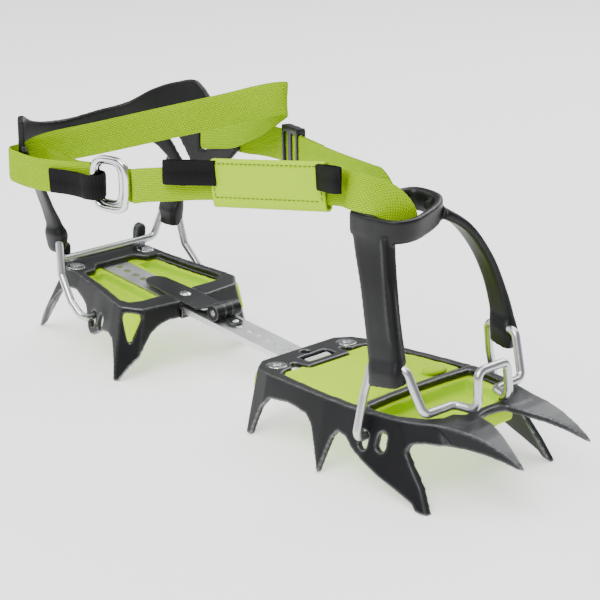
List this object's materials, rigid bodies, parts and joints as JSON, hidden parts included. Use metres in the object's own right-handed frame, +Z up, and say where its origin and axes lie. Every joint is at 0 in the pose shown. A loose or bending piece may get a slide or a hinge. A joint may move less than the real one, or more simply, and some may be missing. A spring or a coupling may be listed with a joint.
{
  "type": "crampon",
  "caption": "Two-section strap-on crampon with spiked steel frames, anti-balling plates, sliding link bar, wire bails, toe basket, heel cup and webbing harness.",
  "frame": {"origin": "on the ground under the middle of the object, where the points stand", "axes": "+X towards the toe, +Y towards the side of the boot away from the buckle rings, +Z up"},
  "size_m": [0.3426, 0.1182, 0.1513],
  "materials": {
    "steel_frame": "satin black coating over steel",
    "lime_plate": "smooth moulded lime elastomer",
    "bright_steel": "satin stainless",
    "screw_steel": "bright plated",
    "black_sheet": "satin black spring steel",
    "black_plastic": "flexible black moulding, fine satin",
    "lime_webbing": "woven lime webbing",
    "black_webbing": "ribbed black webbing",
    "lime_label": "smooth coated lime fabric with stitched edge",
    "black_buckle": "moulded black acetal"
  },
  "bodies": {
    "front_section": {"front_frame": "steel_frame", "front_antiball_plate": "lime_plate", "front_plate_screws": "screw_steel"},
    "bar": {"link_bar": "bright_steel"},
    "heel_section": {"heel_frame": "steel_frame", "heel_antiball_plate": "lime_plate", "heel_plate_screws": "screw_steel", "bar_guide": "black_sheet", "lever_leaf": "black_sheet", "lever_rivet": "screw_steel", "lever_hinge_pin": "screw_steel", "binding_strap_near": "lime_webbing", "binding_strap_far": "lime_webbing"},
    "lock_lever": {"lock_tab": "black_sheet", "locking_pin": "screw_steel"},
    "toe_bail": {"front_wire": "bright_steel", "toe_basket": "black_plastic"},
    "heel_bail": {"heel_wire": "bright_steel", "heel_cup": "black_plastic", "anchor_loop": "lime_webbing", "buckle_tab": "black_webbing", "ankle_strap": "lime_webbing"},
    "outer_ring": {"ring_outer": "bright_steel"},
    "inner_ring": {"ring_inner": "bright_steel"},
    "sleeve": {"label_sleeve": "lime_label", "keeper_loop_rear": "black_webbing", "keeper_loop_front": "black_webbing"},
    "slider": {"slider_buckle": "black_buckle"}
  },
  "joints": [
    {"name": "bar_pivot", "type": "hinge", "parent": "front_section", "child": "bar", "pos_m": [0.02396, 0.00373, 0.02957], "axis": [0, -1, 0], "range_deg": [0, 12]},
    {"name": "length_slide", "type": "slide", "parent": "bar", "child": "heel_section", "axis": [0.9968, 0, -0.0797], "range_m": [-0.028, 0.021], "deforming": ["binding_strap_near", "binding_strap_far"]},
    {"name": "lock_tab_lift", "type": "hinge", "parent": "heel_section", "child": "lock_lever", "pos_m": [-0.0439, 0.00373, 0.03595], "axis": [0, -1, 0], "range_deg": [0, 100]},
    {"name": "toe_bail_pivot", "type": "hinge", "parent": "front_section", "child": "toe_bail", "pos_m": [0.09651, 0.00373, 0.02398], "axis": [0, -1, 0], "range_deg": [0, 15]},
    {"name": "heel_bail_pivot", "type": "hinge", "parent": "heel_section", "child": "heel_bail", "pos_m": [-0.10525, 0.00373, 0.02526], "axis": [0, 1, 0], "range_deg": [0, 25], "deforming": ["ankle_strap", "anchor_loop"]},
    {"name": "outer_ring_swing", "type": "hinge", "parent": "heel_bail", "child": "outer_ring", "pos_m": [-0.07392, -0.05327, 0.1074], "axis": [0, 0, -1], "range_deg": [0, 25]},
    {"name": "inner_ring_swing", "type": "hinge", "parent": "heel_bail", "child": "inner_ring", "pos_m": [-0.07652, -0.04947, 0.107], "axis": [0, 0, 1], "range_deg": [0, 20]},
    {"name": "sleeve_slide", "type": "slide", "parent": "heel_section", "child": "sleeve", "axis": [0.9544, 0.2898, 0.0711], "range_m": [-0.006, 0.003], "deforming": ["label_sleeve", "keeper_loop_rear", "keeper_loop_front"]},
    {"name": "slider_slide", "type": "slide", "parent": "heel_section", "child": "slider", "axis": [0.9426, -0.3271, 0.0665], "range_m": [-0.008, 0.012]}
  ]
}
